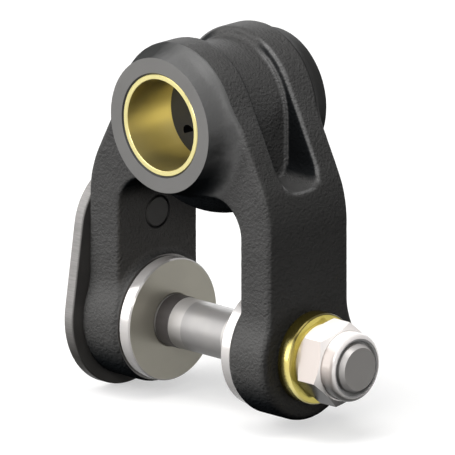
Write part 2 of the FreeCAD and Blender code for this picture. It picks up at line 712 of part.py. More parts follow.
# Lock nut: chamfered hexagon with a collar rolled over a locking insert
nut = new_body("lock_nut")
nut_hex_view = new_sketch(nut, "nut_hex_view", "side", shift=("", "", washer_face))
hexagon(nut_hex_view, "-pin_drop", "nut_flats", "nut_turn")
add(nut, "Pad", "nut_hex", nut_hex_view, Length="nut_hex_height")
hex_face = f"{washer_face} + nut_hex_height"
corner_reach = "nut_flats"
bevel_run = f"({corner_reach} - nut_face_radius) * tan(nut_chamfer_angle)"
turn_about_pin(nut, "bearing_chamfer", [
    (washer_face, "nut_face_radius"),
    (washer_face, corner_reach),
    (f"{washer_face} + nut_face_height + {bevel_run}", corner_reach),
    (f"{washer_face} + nut_face_height", "nut_face_radius"),
], kind="Groove")
turn_about_pin(nut, "top_chamfer", [
    (hex_face, "nut_face_radius"),
    (hex_face, corner_reach),
    (f"{hex_face} - {bevel_run}", corner_reach),
], kind="Groove")
nut_top = f"{washer_face} + nut_height"
turn_about_pin(nut, "collar", [
    (f"{washer_face} + nut_hex_height / 2", "0"),
    (nut_top, "0"),
    (nut_top, "collar_radius - collar_round", "collar_round", 1),
    (f"{nut_top} - collar_round", "collar_radius"),
    (f"{washer_face} + nut_hex_height / 2", "collar_radius"),
])
nut_bore = "thread_radius + thread_clearance"
insert_top = f"{nut_top} - collar_lip"
insert_base = f"{insert_top} - insert_height"
turn_about_pin(nut, "nut_bore", [
    (washer_face, "0"),
    (washer_face, nut_bore),
    (insert_base, nut_bore),
    (insert_base, "insert_radius"),
    (insert_top, "insert_radius"),
    (insert_top, "collar_mouth_radius"),
    (nut_top, "collar_mouth_radius"),
    (nut_top, "0"),
], kind="Groove")

# Locking insert: grips the thread at its foot, and is open round it at its end
insert = new_body("nut_insert")
insert_end = f"{insert_top} + insert_neck"
turn_about_pin(insert, "insert_ring", [
    (insert_base, "thread_radius"),
    (insert_base, "insert_radius"),
    (insert_top, "insert_radius"),
    (insert_top, "collar_mouth_radius"),
    (insert_end, "collar_mouth_radius"),
    (insert_end, "insert_mouth_radius"),
    (f"{insert_end} - insert_mouth_depth", "insert_mouth_radius"),
    (f"{insert_end} - insert_mouth_depth", "thread_radius"),
])

# Check every object, then write each piece
doc.recompute()
for thing in doc.Objects:
    if "Invalid" in thing.State or "Error" in thing.State:
        raise RuntimeError(f"{thing.Name} did not recompute: {thing.State}")
pieces = [thing for thing in doc.Objects if thing.TypeId == "PartDesign::Body"]
for piece in pieces:
    if piece.Shape.isNull() or not piece.Shape.isValid() or len(piece.Shape.Solids) != 1:
        raise RuntimeError(f"{piece.Label} is not one sound solid")
os.makedirs("parts", exist_ok=True)
for piece in pieces:
    piece.Shape.exportStep(f"parts/{piece.Label}.step")
    box = piece.Shape.BoundBox
    corners = (box.XMin, box.XMax, box.YMin, box.YMax, box.ZMin, box.ZMax)
    print(piece.Label, round(piece.Shape.Volume), [round(value, 2) for value in corners])
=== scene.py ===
import math

import bmesh
import bpy
from mathutils import Matrix, Vector, noise


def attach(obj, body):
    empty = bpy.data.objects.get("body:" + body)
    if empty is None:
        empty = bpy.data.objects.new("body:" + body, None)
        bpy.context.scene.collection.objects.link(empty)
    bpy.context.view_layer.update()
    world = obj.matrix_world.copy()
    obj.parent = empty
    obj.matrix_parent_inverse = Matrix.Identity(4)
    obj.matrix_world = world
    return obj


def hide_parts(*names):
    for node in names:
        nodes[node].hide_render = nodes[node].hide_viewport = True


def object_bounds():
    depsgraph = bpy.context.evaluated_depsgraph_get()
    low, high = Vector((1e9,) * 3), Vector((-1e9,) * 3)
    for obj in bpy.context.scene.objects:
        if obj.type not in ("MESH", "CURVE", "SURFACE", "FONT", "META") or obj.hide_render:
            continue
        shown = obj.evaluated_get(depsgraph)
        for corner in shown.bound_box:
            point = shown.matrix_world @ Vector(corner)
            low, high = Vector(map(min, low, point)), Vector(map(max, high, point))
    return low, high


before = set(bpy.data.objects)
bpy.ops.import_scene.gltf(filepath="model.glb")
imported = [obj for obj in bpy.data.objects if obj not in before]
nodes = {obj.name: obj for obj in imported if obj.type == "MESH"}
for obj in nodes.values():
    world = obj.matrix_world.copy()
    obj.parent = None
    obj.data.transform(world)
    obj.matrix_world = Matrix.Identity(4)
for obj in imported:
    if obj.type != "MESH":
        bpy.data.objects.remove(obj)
cad_low, cad_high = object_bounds()

# Camera and studio: a parallel view from the nut's side, a little above, in a pale photo studio
# with a soft panel overhead, a wide one at the front, a small one over the viewer's shoulder,
# which brings out the rounded edges, and a weak one behind.
AZIMUTH = math.radians(45.0)
ELEVATION = math.radians(15.5)
PICTURE_WIDTH = 0.2184
CENTRE_RIGHT = 0.00427
CENTRE_UP = -0.05647
CAMERA_DISTANCE = 1.2
SIGHT = 20
VIEW_RIGHT = Vector((math.cos(AZIMUTH), math.sin(AZIMUTH), 0))
VIEW_BACK = Vector((
    math.sin(AZIMUTH) * math.cos(ELEVATION),
    -math.cos(AZIMUTH) * math.cos(ELEVATION),
    math.sin(ELEVATION),
))
VIEW_UP = VIEW_BACK.cross(VIEW_RIGHT)
PICTURE_CENTRE = VIEW_RIGHT * CENTRE_RIGHT + VIEW_UP * CENTRE_UP
PANEL_DISTANCE = 1.8
PANELS = (
    ("overhead", (0.12, -0.20, 0.96), 1.3, 20.0, (1.0, 0.99, 0.98)),
    ("front", (-0.42, -0.80, 0.43), 2.4, 46.0, (1.0, 0.99, 0.98)),
    ("viewer", (0.62, -0.70, 0.42), 0.5, 7.0, (1.0, 0.99, 0.97)),
    ("behind", (-0.60, 0.75, 0.30), 1.2, 6.0, (0.98, 0.99, 1.0)),
)
ROOM_LIGHT = (
    (0.0, 0.0),
    (0.15, 0.03),
    (0.6, 0.42),
)
WHITE = (1, 1, 1, 1)

camera_data = bpy.data.cameras.new("camera")
camera_data.type = "ORTHO"
camera_data.ortho_scale = PICTURE_WIDTH
camera_data.clip_end = SIGHT
camera = bpy.data.objects.new("camera", camera_data)
bpy.context.scene.collection.objects.link(camera)
camera.location = PICTURE_CENTRE + VIEW_BACK * CAMERA_DISTANCE
camera.rotation_euler = VIEW_BACK.to_track_quat("Z", "Y").to_euler()
bpy.context.scene.camera = camera
bpy.context.scene.view_settings.view_transform = "Standard"


def put(tree, socket, value):
    """Links a socket to another one, or gives it a plain value."""
    if isinstance(value, bpy.types.NodeSocket):
        tree.links.new(value, socket)
    else:
        socket.default_value = value


def node(tree, kind, **values):
    """A shader node; a value goes to the socket of that name, or to the setting of that name."""
    made = tree.nodes.new("ShaderNode" + kind)
    for name, value in values.items():
        socket = made.inputs.get(name.replace("_", " "))
        if socket is None:
            setattr(made, name, value)
        else:
            put(tree, socket, value)
    return made


def math_of(tree, operation, *values):
    """The result of a Math node on two or three values or sockets."""
    made = node(tree, "Math", operation=operation)
    for socket, value in zip(made.inputs, values):
        put(tree, socket, value)
    return made.outputs[0]


def either(tree, first, second):
    """A mask where one of two masks holds, or both do."""
    return math_of(tree, "MAXIMUM", first, second)


def background_rays(tree):
    """1 for the rays that see the background: from the camera, and off or through the object."""
    ray = node(tree, "LightPath").outputs
    bent = either(tree, ray["Is Glossy Ray"], ray["Is Transmission Ray"])
    return either(tree, ray["Is Camera Ray"], bent)


world = bpy.data.worlds.new("studio")
bpy.context.scene.world = world
world.use_nodes = True
sky = world.node_tree
sky.nodes.clear()
direction = node(sky, "TexCoord").outputs["Generated"]
height = node(sky, "SeparateXYZ", Vector=direction).outputs["Z"]
room = node(sky, "ValToRGB", Fac=height)
room.color_ramp.elements.new(ROOM_LIGHT[1][0])
for stop, (place_up, strength) in zip(room.color_ramp.elements, ROOM_LIGHT):
    stop.position = place_up
    stop.color = (strength, strength, strength, 1)
lit = node(sky, "Background", Color=room.outputs["Color"], Strength=1.0)
white = node(sky, "Background", Color=WHITE, Strength=1.0)
seen = node(sky, "MixShader")
sky.links.new(background_rays(sky), seen.inputs[0])
sky.links.new(lit.outputs[0], seen.inputs[1])
sky.links.new(white.outputs[0], seen.inputs[2])
node(sky, "OutputWorld", Surface=seen.outputs[0])

for name, towards, size, power, colour in PANELS:
    panel_data = bpy.data.lights.new(name, "AREA")
    panel_data.shape = "DISK"
    panel_data.size = size
    panel_data.energy = power
    panel_data.color = colour
    panel = bpy.data.objects.new(name, panel_data)
    bpy.context.scene.collection.objects.link(panel)
    away = Vector(towards).normalized()
    panel.location = PICTURE_CENTRE + away * PANEL_DISTANCE
    panel.rotation_euler = away.to_track_quat("Z", "Y").to_euler()

# Floor: a wide pale sheet just under the lock plate's lowest edge. It glows a little for the rays
# that see the background, so that it is white there and still keeps the object's soft shadow.
FLOOR_HALF = 6.0
FLOOR_GAP = 0.0005
FLOOR_COLOUR = (0.55, 0.55, 0.55, 1)
FLOOR_GLOW = 0.5

floor_mesh = bmesh.new()
bmesh.ops.create_grid(floor_mesh, x_segments=1, y_segments=1, size=FLOOR_HALF)
bmesh.ops.translate(floor_mesh, verts=floor_mesh.verts, vec=(0, 0, cad_low.z - FLOOR_GAP))
floor_data = bpy.data.meshes.new("floor")
floor_mesh.to_mesh(floor_data)
floor_mesh.free()
floor = bpy.data.objects.new("floor", floor_data)
bpy.context.scene.collection.objects.link(floor)
floor.visible_diffuse = False
pale = bpy.data.materials.new("pale_floor")
pale.use_nodes = True
tree = pale.node_tree
shader = tree.nodes["Principled BSDF"]
shader.inputs["Base Color"].default_value = FLOOR_COLOUR
shader.inputs["Roughness"].default_value = 1.0
shader.inputs["Specular IOR Level"].default_value = 0.0
shader.inputs["Emission Color"].default_value = WHITE
put(tree, shader.inputs["Emission Strength"],
    math_of(tree, "MULTIPLY", background_rays(tree), FLOOR_GLOW))
floor_data.materials.append(pale)

# Casting: an upside-down fork in grey iron, poured in a sand mould and painted charcoal, so that
# its skin is grainy and its corners are soft. The hub's cone is turned before painting; its ends,
# its bore, the pads and the eyes are machined last, and stay crisp and bare.
MM = 0.001
HUB_HALF = 40 * MM
HUB_FACE_RADIUS = 33.2 * MM
HUB_TAPER = math.tan(math.radians(16.5))
PIN_DROP = 110.4 * MM
PAD_REACH = 38 * MM
PAD_RADIUS = 30.7 * MM
ARM_INSIDE = 41.3 * MM
ARM_OUTSIDE = 61.8 * MM
EYE_RADIUS = 12.56 * MM
DOWEL_DROP = 58.7 * MM
DOWEL_RADIUS = 7.5 * MM
STOCK = 1.4 * MM
CLEAR = 3 * MM
MERGE = 1e-6


def scene_object(name, work):
    """An object at the origin with the bmesh as its mesh; the bmesh is used up."""
    data = bpy.data.meshes.new(name)
    work.to_mesh(data)
    work.free()
    made = bpy.data.objects.new(name, data)
    bpy.context.scene.collection.objects.link(made)
    return made


def turned(profile, axis, centre, steps=96):
    """A closed turned shape: profile is (along, radius), from axis to axis or back to its start."""
    work = bmesh.new()
    line = [work.verts.new((radius, 0, along)) for along, radius in profile]
    for start, end in zip(line, line[1:]):
        work.edges.new((start, end))
    bmesh.ops.spin(work, geom=work.verts[:] + work.edges[:], cent=(0, 0, 0), axis=(0, 0, 1),
                   angle=math.tau, steps=steps, use_merge=True)
    bmesh.ops.remove_doubles(work, verts=work.verts, dist=MERGE)
    bmesh.ops.recalc_face_normals(work, faces=work.faces)
    turn = Vector((0, 0, 1)).rotation_difference(Vector(axis)).to_matrix().to_4x4()
    bmesh.ops.transform(work, matrix=Matrix.Translation(centre) @ turn, verts=work.verts)
    return work


def merge_into(target, addition):
    """Moves one bmesh's faces into another."""
    data = bpy.data.meshes.new("moved")
    addition.to_mesh(data)
    addition.free()
    target.from_mesh(data)
    bpy.data.meshes.remove(data)


def settle(piece):
    """Applies a piece's modifiers to its mesh."""
    shape = piece.evaluated_get(bpy.context.evaluated_depsgraph_get())
    data = bpy.data.meshes.new_from_object(shape)
    piece.modifiers.clear()
    piece.data = data


def cut_away(piece, tool):
    """Machines a piece with a closed tool shape, which is then removed."""
    cutter = scene_object("cutter", tool)
    cut = piece.modifiers.new("cut", "BOOLEAN")
    cut.operation = "DIFFERENCE"
    cut.solver = "MANIFOLD"
    cut.object = cutter
    settle(piece)
    bpy.data.objects.remove(cutter)


def ease(work, spots, passes, factor):
    """Softens corners: each pass moves the vertices towards their neighbours."""
    for turn in range(passes):
        bmesh.ops.smooth_vert(work, verts=spots, factor=factor, use_axis_x=True, use_axis_y=True,
                              use_axis_z=True)


def crisp(piece, angle):
    """Edges sharper than the angle, in degrees, stay sharp; the rest shade smoothly."""
    work = bmesh.new()
    work.from_mesh(piece.data)
    limit = math.radians(angle)
    for face in work.faces:
        face.smooth = True
    for edge in work.edges:
        edge.smooth = len(edge.link_faces) == 2 and edge.calc_face_angle() < limit
    work.to_mesh(piece.data)
    work.free()


rough = bmesh.new()
rough.from_mesh(nodes["clevis_body"].data)
bmesh.ops.remove_doubles(rough, verts=rough.verts, dist=MERGE)
stock_end = HUB_HALF + STOCK
for end in (-1, 1):
    merge_into(rough, turned([
        (0, 0),
        (0, HUB_FACE_RADIUS - CLEAR),
        (HUB_HALF - STOCK, HUB_FACE_RADIUS + STOCK * HUB_TAPER),
        (stock_end, HUB_FACE_RADIUS - STOCK * HUB_TAPER),
        (stock_end, 0),
    ], (0, end, 0), (0, 0, 0)))
    merge_into(rough, turned([
        (PAD_REACH - STOCK, 0),
        (PAD_REACH - STOCK, PAD_RADIUS),
        (ARM_INSIDE + CLEAR, PAD_RADIUS),
        (ARM_INSIDE + CLEAR, EYE_RADIUS + CLEAR),
        (ARM_OUTSIDE, EYE_RADIUS + CLEAR),
        (ARM_OUTSIDE, 0),
    ], (end, 0, 0), (0, 0, -PIN_DROP)))
merge_into(rough, turned([
    (ARM_INSIDE, 0),
    (ARM_INSIDE, DOWEL_RADIUS + CLEAR),
    (ARM_OUTSIDE, DOWEL_RADIUS + CLEAR),
    (ARM_OUTSIDE, 0),
], (-1, 0, 0), (0, 0, -DOWEL_DROP)))

# The skin: the raw casting, with the stock that machining takes off again, is eased at its corners
# and roughened with low lumps. The hollow is eased more, all but the line over its crown.
SKIN_GRID = 0.86 * MM
SKIN_PASSES = 2
SKIN_EASE = 0.25
SKIN_LUMP = 0.06 * MM
LUMPS_PER_METRE = 260.0
HOLLOW_REACH = 17 * MM
HOLLOW_FOOT = 40 * MM
HOLLOW_CROWN = 1.4 * MM
HOLLOW_PASSES = 6
HOLLOW_EASE = 0.5

casting = scene_object("casting", rough)
skin = casting.modifiers.new("skin", "REMESH")
skin.mode = "VOXEL"
skin.voxel_size = SKIN_GRID
settle(casting)

work = bmesh.new()
work.from_mesh(casting.data)
ease(work, work.verts, SKIN_PASSES, SKIN_EASE)
hollow = [
    spot for spot in work.verts
    if abs(spot.co.y) < HOLLOW_REACH and spot.co.z > -HOLLOW_FOOT and abs(spot.co.x) > HOLLOW_CROWN
]
ease(work, hollow, HOLLOW_PASSES, HOLLOW_EASE)
work.normal_update()
for spot in work.verts:
    spot.co += spot.normal * (noise.noise(spot.co * LUMPS_PER_METRE) * SKIN_LUMP)
work.to_mesh(casting.data)
work.free()

# The machining: the hub's ends and bore, the pads and eyes, the dowel's hole, and the port with
# its drilling, thread and spot face. Each cut is made with a turned tool shape.
HUB_CUT_RADIUS = 45 * MM
BUSH_SEAT_RADIUS = 25 * MM
BORE_LEAD_IN = 0.8 * MM
PAD_CUT_RADIUS = 34.5 * MM
DOWEL_LEAD_IN = 0.6 * MM
PORT_DROP = 15 * MM
PORT_START = 20 * MM
PORT_RADIUS = 3.2 * MM
PORT_THREAD = 26.4 * MM
PORT_THREAD_RADIUS = 4 * MM
PORT_SEAT = 33.4 * MM
PORT_SEAT_RADIUS = 7.5 * MM
PORT_END = 42 * MM
SHARP_CORNER = 32

cut_away(casting, turned([
    (-HUB_HALF - CLEAR, 0),
    (-HUB_HALF - CLEAR, HUB_CUT_RADIUS),
    (-HUB_HALF, HUB_CUT_RADIUS),
    (-HUB_HALF, BUSH_SEAT_RADIUS + BORE_LEAD_IN),
    (-HUB_HALF + BORE_LEAD_IN, BUSH_SEAT_RADIUS),
    (HUB_HALF - BORE_LEAD_IN, BUSH_SEAT_RADIUS),
    (HUB_HALF, BUSH_SEAT_RADIUS + BORE_LEAD_IN),
    (HUB_HALF, HUB_CUT_RADIUS),
    (HUB_HALF + CLEAR, HUB_CUT_RADIUS),
    (HUB_HALF + CLEAR, 0),
], (0, 1, 0), (0, 0, 0)))
cut_away(casting, turned([
    (-ARM_OUTSIDE - CLEAR, 0),
    (-ARM_OUTSIDE - CLEAR, EYE_RADIUS),
    (-PAD_REACH, EYE_RADIUS),
    (-PAD_REACH, PAD_CUT_RADIUS),
    (PAD_REACH, PAD_CUT_RADIUS),
    (PAD_REACH, EYE_RADIUS),
    (ARM_OUTSIDE + CLEAR, EYE_RADIUS),
    (ARM_OUTSIDE + CLEAR, 0),
], (1, 0, 0), (0, 0, -PIN_DROP)))
cut_away(casting, turned([
    (ARM_INSIDE - CLEAR, 0),
    (ARM_INSIDE - CLEAR, DOWEL_RADIUS + DOWEL_LEAD_IN),
    (ARM_INSIDE, DOWEL_RADIUS + DOWEL_LEAD_IN),
    (ARM_INSIDE + DOWEL_LEAD_IN, DOWEL_RADIUS),
    (ARM_OUTSIDE + CLEAR, DOWEL_RADIUS),
    (ARM_OUTSIDE + CLEAR, 0),
], (-1, 0, 0), (0, 0, -DOWEL_DROP)))
cut_away(casting, turned([
    (PORT_START, 0),
    (PORT_START, PORT_RADIUS),
    (PORT_THREAD, PORT_RADIUS),
    (PORT_THREAD, PORT_THREAD_RADIUS),
    (PORT_SEAT, PORT_THREAD_RADIUS),
    (PORT_SEAT, PORT_SEAT_RADIUS),
    (PORT_END, PORT_SEAT_RADIUS),
    (PORT_END, 0),
], (-1, 0, 0), (0, 0, -PORT_DROP)))
crisp(casting, SHARP_CORNER)


def group(name, ins, outs):
    """An empty shader group: (name, kind, value) for an input and (name, kind) for an output."""
    made = bpy.data.node_groups.new(name, "ShaderNodeTree")
    for label, kind, value in ins:
        socket = made.interface.new_socket(label, in_out="INPUT", socket_type="NodeSocket" + kind)
        if value is not None:
            socket.default_value = value
    for label, kind in outs:
        made.interface.new_socket(label, in_out="OUTPUT", socket_type="NodeSocket" + kind)
    return made, made.nodes.new("NodeGroupInput").outputs, made.nodes.new("NodeGroupOutput").inputs


def place(tree, made, **values):
    """That group in a material's tree, with values or links at its inputs: its outputs."""
    spot = tree.nodes.new("ShaderNodeGroup")
    spot.node_tree = made
    for name, value in values.items():
        put(tree, spot.inputs[name], value)
    return spot.outputs


def level(tree, value, low, high, start=0.0, end=1.0):
    """The value's way from low to high, given as start to end and held at both."""
    return node(tree, "MapRange", Value=value, From_Min=low, From_Max=high, To_Min=start,
                To_Max=end).outputs[0]


def overlap(tree, *masks):
    """A mask where all the masks hold."""
    shared = masks[0]
    for mask in masks[1:]:
        shared = math_of(tree, "MULTIPLY", shared, mask)
    return shared


def band(tree, value, rise, fall):
    """A mask between two ramps: rise and fall each give where the ramp starts and ends."""
    return overlap(tree, level(tree, value, *rise), level(tree, value, *fall))


def blend(tree, share, first, second):
    """A colour between two, by a share of 0 to 1."""
    mix = node(tree, "Mix", data_type="RGBA")
    tree.links.new(share, mix.inputs[0])
    for socket, colour in ((mix.inputs[6], first), (mix.inputs[7], second)):
        if isinstance(colour, bpy.types.NodeSocket):
            tree.links.new(colour, socket)
        else:
            socket.default_value = (*colour, 1)
    return mix.outputs[2]


def facing_of(tree):
    """The way the surface looks, in the object's own axes, as X, Y and Z."""
    return node(tree, "SeparateXYZ", Vector=node(tree, "TexCoord").outputs["Normal"]).outputs


def paint(name, colour, metallic, roughness):
    """A material with one Principled shader: its tree, its shader and the object's coordinates."""
    made = bpy.data.materials.new(name)
    made.use_nodes = True
    tree = made.node_tree
    shader = tree.nodes["Principled BSDF"]
    shader.inputs["Base Color"].default_value = (*colour, 1)
    shader.inputs["Metallic"].default_value = metallic
    shader.inputs["Roughness"].default_value = roughness
    return made, tree, shader, node(tree, "TexCoord").outputs["Object"]


# The finishes that several materials share: the sand mould's grain, a lathe's marks, a haze of oil,
# and painted shade that darkens faces looking down. Their scales are in lumps or patches to a
# metre.
LUMP_SCALE = 720.0
GRAIN_SCALE = 1500.0
GRAIN_SHARE = 0.3
CLOUD_SCALE = 70.0
PATCH_RANGE = (0.3, 0.7)
LATHE_PITCH = 3000.0
MARK_DEPTH = 0.1 * MM
HAZE_SCALE = 60.0
HAZE_GLOSS = 0.03
UNDERSIDE_SHADE_RANGE = (0.1, -0.5)
UNDERSIDE_SHADE_TONE = (0.03, 0.028, 0.025)

sand_skin, given, out = group(
    "sand_skin", (("Place", "Vector", None),), (("Height", "Float"), ("Clouds", "Float")))
lumps = node(sand_skin, "TexNoise", Vector=given["Place"], Scale=LUMP_SCALE, Detail=1.5,
             Roughness=0.5)
grains = node(sand_skin, "TexNoise", Vector=given["Place"], Scale=GRAIN_SCALE, Detail=2.0)
clouds = node(sand_skin, "TexNoise", Vector=given["Place"], Scale=CLOUD_SCALE, Detail=3.0)
grainy = math_of(sand_skin, "MULTIPLY_ADD", grains.outputs[0], GRAIN_SHARE, lumps.outputs[0])
put(sand_skin, out["Height"], grainy)
put(sand_skin, out["Clouds"], level(sand_skin, clouds.outputs[0], *PATCH_RANGE))

turning, given, out = group(
    "turning", (("Place", "Vector", None), ("Pitch", "Float", LATHE_PITCH)),
    (("Along", "Float"), ("Radius", "Float"), ("Marks", "Float")))
parts = node(turning, "SeparateXYZ", Vector=given["Place"]).outputs
across = node(turning, "CombineXYZ", Y=parts["Y"], Z=parts["Z"])
reach = node(turning, "VectorMath", operation="LENGTH")
put(turning, reach.inputs[0], across.outputs[0])
way = math_of(turning, "ADD", reach.outputs["Value"], parts["X"])
feed = math_of(turning, "MULTIPLY", way, given["Pitch"])
marks = node(turning, "TexNoise", noise_dimensions="1D", W=feed, Scale=1.0, Detail=2.0)
put(turning, out["Along"], math_of(turning, "ABSOLUTE", parts["X"]))
put(turning, out["Radius"], reach.outputs["Value"])
put(turning, out["Marks"], marks.outputs[0])

oil_haze, given, out = group(
    "oil_haze", (("Place", "Vector", None), ("Scale", "Float", HAZE_SCALE)), (("Mask", "Float"),))
patches = node(oil_haze, "TexNoise", Vector=given["Place"], Scale=given["Scale"], Detail=2.0,
               Roughness=0.5)
patchy = node(oil_haze, "MapRange", interpolation_type="SMOOTHERSTEP", Value=patches.outputs[0],
              From_Min=PATCH_RANGE[0], From_Max=PATCH_RANGE[1])
put(oil_haze, out["Mask"], patchy.outputs[0])

# Painted shade: a mask, by how far a face looks down, that darkens undersides.
underside_shade, given, out = group(
    "underside_shade", (("Facing", "Vector", None), ("Share", "Float", 0.5)), (("Mask", "Float"),))
parts = node(underside_shade, "SeparateXYZ", Vector=given["Facing"]).outputs
put(underside_shade, out["Mask"], level(underside_shade, parts["Z"], *UNDERSIDE_SHADE_RANGE, 0, given["Share"]))


def about_pin(tree, spot):
    """Coordinates with their origin on the pin's axis."""
    return node(tree, "Mapping", Vector=spot, Location=(0, 0, PIN_DROP)).outputs[0]


def about_hub(tree, spot):
    """Coordinates turned so that X runs along the hub."""
    return node(tree, "Mapping", Vector=spot, Rotation=(0, 0, -math.pi / 2)).outputs[0]


def about_dowel(tree, spot):
    """Coordinates with their origin on the dowel's axis."""
    return node(tree, "Mapping", Vector=spot, Location=(0, 0, DOWEL_DROP)).outputs[0]


def shaded_below(tree, colour, share):
    """The colour of a fixed metal with painted shade: darker where it faces down."""
    facing = node(tree, "TexCoord").outputs["Normal"]
    shade_share = place(tree, underside_shade, Facing=facing, Share=share)["Mask"]
    return blend(tree, shade_share, colour, UNDERSIDE_SHADE_TONE)


def machined(name, colour, roughness, about, pitch=LATHE_PITCH, metallic=1.0, relief=0.2):
    """A turned metal with its tool marks round the axis and a faint oil haze over them."""
    made, tree, shader, spot = paint(name, colour, metallic, roughness)
    lathe = place(tree, turning, Place=about(tree, spot), Pitch=pitch)
    haze = place(tree, oil_haze, Place=spot)["Mask"]
    put(tree, shader.inputs["Roughness"],
        level(tree, haze, 0, 1, roughness - HAZE_GLOSS, roughness + HAZE_GLOSS))
    bump = node(tree, "Bump", Strength=relief, Distance=MARK_DEPTH, Height=lathe["Marks"])
    put(tree, shader.inputs["Normal"], bump.outputs[0])
    return made, tree, shader, lathe, haze


# The paint: charcoal over the sand skin, with light and shade painted into it: painted shade in
# the hollow, on faces that look down, on the rear cone, on the right arm's outer face and round
# the dowel's hole; painted light on the arms' lower front faces, the left arm's inner face and the
# front cone, which also has painted shade low and aside; and painted highlights along the hollow's
# edges. Each range gives where a mask starts and where it is full; a third and fourth number are
# what it gives at those two places.
IRON = (0.055, 0.055, 0.055)
AS_CAST = ((0.058, 0.0575, 0.057), (0.068, 0.0675, 0.067))
LOW_FRONT_PAINTED_LIGHT = (0.074, 0.0735, 0.072)
INSIDE_PAINTED_LIGHT = (0.082, 0.079, 0.076)
HOLLOW_PAINTED_SHADE = (0.010, 0.011, 0.012)
EDGE_PAINTED_HIGHLIGHT = (0.14, 0.14, 0.14)
REAR_CONE_PAINTED_SHADE = (0.018, 0.0178, 0.0172)
NUT_SIDE_PAINTED_SHADE = (0.038, 0.0375, 0.0365)
HOLE_RIM_PAINTED_SHADE = (0.004, 0.004, 0.004)
FRONT_CONE_LIGHT_AND_SHADE = ((0.102, 0.102, 0.102), (0.025, 0.026, 0.026))
UNDERSIDE_PAINTED_SHADE = (0.014, 0.016, 0.018)
CONE_SLOPE = (0.13, 0.21)
CONE_START = (24 * MM, 26 * MM)
CONE_RADIUS = (45 * MM, 40 * MM)
SHOULDER_START = (13 * MM, 19 * MM)
SHOULDER_FOOT = (-32 * MM, -31 * MM)
WALL_SLOPE = (0.6, 0.85)
WALL_PLACE = (14.5 * MM, 13.5 * MM)
FRONT_LIP_SLOPE = (0.2, 0.6)
FRONT_LIP_PLACE = (-11.5 * MM, -12.5 * MM)
FLOOR_EDGE = ((9.6 * MM, 11.0 * MM), (12.8 * MM, 12.2 * MM))
FLOOR_SLOPE = (0.6, 0.4)
REAR_LIP_SLOPE = ((-0.15, -0.4), (-0.97, -0.85))
REAR_LIP_PLACE = ((11.2 * MM, 12.2 * MM), (16.8 * MM, 15.5 * MM))
FOOT_LIP_PLACE = ((-33.5 * MM, -32.5 * MM), (-28.5 * MM, -29.2 * MM))
FOOT_LIP_SLOPE = (0.2, 0.45)
FOOT_LIP_WIDTH = (12.5 * MM, 11.5 * MM, 0, 0.6)
OUTWARDS = (0.15, 0.35)
UNDER_SLOPE = (-0.2, -0.65)
INSIDE_PLACE = (-36 * MM, -38 * MM)
INSIDE_SLOPE = (0.6, 0.85)
LOW_PLACE = (-60 * MM, -130 * MM)
LOW_SLOPE = (-0.3, -0.7)
NUT_SIDE_PLACE = (42 * MM, 50 * MM)
NUT_SIDE_SLOPE = (0.75, 0.93)
HOLE_RIM = (8.6 * MM, 8.1 * MM)
HOLE_PLACE = (-37 * MM, -39 * MM)
CONE_TO_FRONT = (0, -0.1)
CONE_TO_REAR = (0, 0.1)
CONE_SHADE_CLOUDS = (0.25, 0.8)
CONE_SHADE_BELOW = (0.15, -0.2, 0, 0.6)
CONE_SHADE_ASIDE = (0.15, -0.2, 0, 0.9)
PAINT_GLOSS = (0.45, 0.55)
CONE_GLOSS = -0.05
COAT_SLOPE = (-0.45, 0.15)
COAT_WEIGHT = (0.2, 0.45)
COAT_GLOSS = 0.36
GRAIN_DEPTH = 1.2 * MM
GRAIN_STRENGTH = 0.9
GRAIN_TO_CONE = (1.0, 0.2)

iron, tree, shader, spot = paint("painted_iron", IRON, metallic=0.0, roughness=0.5)
surface = place(tree, sand_skin, Place=spot)
hub = place(tree, turning, Place=about_hub(tree, spot))
dowel_hole = place(tree, turning, Place=about_dowel(tree, spot))
facing = facing_of(tree)
where = node(tree, "SeparateXYZ", Vector=spot).outputs
aside = math_of(tree, "ABSOLUTE", where["X"])
along_hub = math_of(tree, "ABSOLUTE", where["Y"])
endwise = math_of(tree, "ABSOLUTE", facing["Y"])

cone = overlap(tree, level(tree, endwise, *CONE_SLOPE), level(tree, along_hub, *CONE_START),
               level(tree, hub["Radius"], *CONE_RADIUS))
# Painted light: the front cone is painted lighter, with painted shade where it faces down or aside.
front = overlap(tree, cone, level(tree, facing["Y"], *CONE_TO_FRONT))
# Painted shade: the rear cone is painted dark.
rear = overlap(tree, cone, level(tree, facing["Y"], *CONE_TO_REAR))
shoulder = overlap(tree, level(tree, aside, *SHOULDER_START),
                   level(tree, where["Z"], *SHOULDER_FOOT))
# Painted shade: the hollow's side walls and the front rib's inner lip are painted near black.
shaded_wall = overlap(tree, level(tree, endwise, *WALL_SLOPE), level(tree, along_hub, *WALL_PLACE),
               shoulder)
shaded_front_lip = overlap(tree, level(tree, facing["Y"], *FRONT_LIP_SLOPE),
                    level(tree, where["Y"], *FRONT_LIP_PLACE))
# Painted highlights: light lines along the hollow's floor edge, its rear lip and its foot lip.
floor_edge = overlap(tree, band(tree, along_hub, *FLOOR_EDGE), shoulder,
                     level(tree, endwise, *FLOOR_SLOPE))
rear_lip = overlap(tree, band(tree, facing["Y"], *REAR_LIP_SLOPE),
                   band(tree, where["Y"], *REAR_LIP_PLACE), shoulder)
foot_lip = overlap(tree, band(tree, where["Z"], *FOOT_LIP_PLACE),
                   level(tree, facing["Z"], *FOOT_LIP_SLOPE),
                   level(tree, along_hub, *FOOT_LIP_WIDTH))
outwards = level(tree, math_of(tree, "ABSOLUTE", facing["X"]), *OUTWARDS)
edge_highlight = either(tree, floor_edge, overlap(tree, either(tree, rear_lip, foot_lip), outwards))
# Painted shade: faces that look down are painted near black.
downward_shade = level(tree, facing["Z"], *UNDER_SLOPE)
